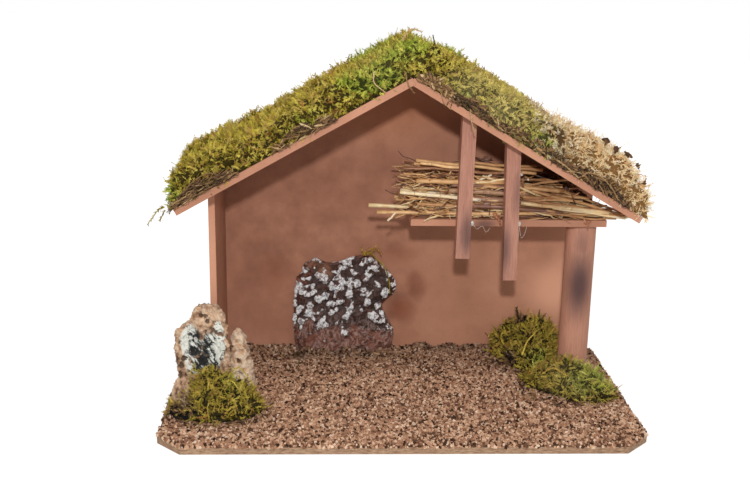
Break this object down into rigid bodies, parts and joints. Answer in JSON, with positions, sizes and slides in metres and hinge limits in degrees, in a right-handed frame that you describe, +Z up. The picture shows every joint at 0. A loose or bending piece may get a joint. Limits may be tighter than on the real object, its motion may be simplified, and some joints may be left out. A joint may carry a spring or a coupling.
{
  "type": "nativity stable",
  "caption": "Open-fronted nativity stable: gabled moss-covered roof, straw loft on a round column, hanging beams, bark hearth, cork rocks and a granule-strewn plinth.",
  "frame": {"origin": "centre of the plinth's underside", "axes": "+X to the right seen from the open front, +Y towards the back wall, +Z up"},
  "size_m": [0.3645, 0.19, 0.2808],
  "materials": {
    "painted_board": "matte terracotta-brown paint, airbrushed darker in places",
    "raw_board": "raw sawn fibreboard edge",
    "cork_granule": "rough cork granules in mixed browns",
    "pine_stick": "stained square stick with fine grain",
    "dowel": "stained round dowel with an airbrushed smudge",
    "green_moss": "preserved olive-green moss",
    "dry_moss": "dried tan moss",
    "straw": "dry straw, slightly glossy stalks",
    "cork_bark": "rough cork bark with dark and white paint in its hollow",
    "painted_bark": "knobbly bark painted maroon-brown with white dry-brushing",
    "dried_leaf": "dry leaf scrap",
    "hot_glue": "clear hot glue"
  },
  "bodies": {
    "root": {"back_wall": "painted_board", "base_board": "raw_board", "cork_granules": "cork_granule", "cork_rock_chip": "cork_bark", "cork_rock_low": "cork_bark", "cork_rock_tall": "cork_bark", "eave_moss_sprig": "green_moss", "glue_dab_left": "hot_glue", "glue_dab_right": "hot_glue", "hanging_beam_left": "pine_stick", "hanging_beam_right": "pine_stick", "hearth_bark": "painted_bark", "hearth_moss_sprig": "green_moss", "leaf_scrap_left": "dried_leaf", "leaf_scrap_right": "dried_leaf", "left_side_wall": "painted_board", "loft_shelf": "painted_board", "moss_clump_column": "green_moss", "moss_clump_rock": "green_moss", "moss_clump_wall": "green_moss", "roof_board_left": "painted_board", "roof_board_right": "painted_board", "roof_moss_dry": "dry_moss", "roof_moss_left": "green_moss", "roof_moss_right": "green_moss", "round_column": "dowel", "straw_bed": "straw", "straw_stalk_01": "straw", "straw_stalk_02": "straw", "straw_stalk_03": "straw", "straw_stalk_04": "straw", "straw_stalk_05": "straw", "straw_stalk_06": "straw", "straw_stalk_07": "straw", "straw_stalk_08": "straw", "straw_stalk_09": "straw", "straw_stalk_10": "straw", "straw_stalk_11": "straw", "straw_stalk_12": "straw", "straw_stalk_13": "straw", "straw_stalk_14": "straw", "straw_stalk_15": "straw", "straw_stalk_16": "straw", "straw_stalk_17": "straw", "straw_stalk_18": "straw", "straw_stalk_19": "straw", "straw_stalk_20": "straw", "straw_stalk_21": "straw", "straw_stalk_22": "straw", "straw_stalk_23": "straw", "straw_stalk_24": "straw"}
  },
  "joints": []
}
